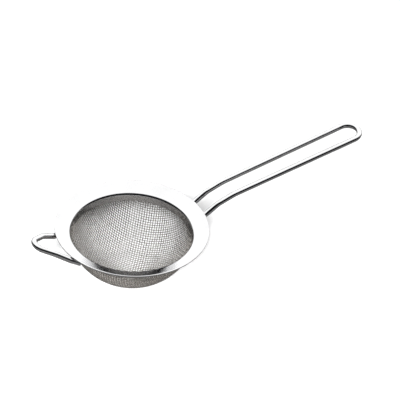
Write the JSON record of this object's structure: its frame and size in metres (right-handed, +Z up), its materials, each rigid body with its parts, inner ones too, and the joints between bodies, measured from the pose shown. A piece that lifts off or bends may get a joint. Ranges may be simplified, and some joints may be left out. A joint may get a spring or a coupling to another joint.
{
  "type": "tea strainer",
  "caption": "Small steel tea strainer: a dished round rim, a deep bowl of woven wire cloth, a long hairpin wire handle and a short wire rest loop opposite.",
  "frame": {"origin": "On the bowl's axis, in the plane of the rim's outer top edge.", "axes": "+Z up out of the mouth, +X along the handle away from the bowl, +Y to the left of the handle."},
  "size_m": [0.1946, 0.0788, 0.0533],
  "materials": {
    "rim_flange": "mirror polished",
    "mesh_clamp_ring": "smooth rolled",
    "mesh_bowl": "woven wire cloth",
    "handle_wire": "polished",
    "rest_loop_wire": "polished",
    "handle_weld_left": "welded, brushed clean",
    "handle_weld_right": "welded, brushed clean",
    "loop_weld_left": "welded, brushed clean",
    "loop_weld_right": "welded, brushed clean"
  },
  "bodies": {
    "root": {"rim_flange": "rim_flange", "mesh_clamp_ring": "mesh_clamp_ring", "mesh_bowl": "mesh_bowl", "handle_wire": "handle_wire", "rest_loop_wire": "rest_loop_wire", "handle_weld_left": "handle_weld_left", "handle_weld_right": "handle_weld_right", "loop_weld_left": "loop_weld_left", "loop_weld_right": "loop_weld_right"}
  },
  "joints": []
}
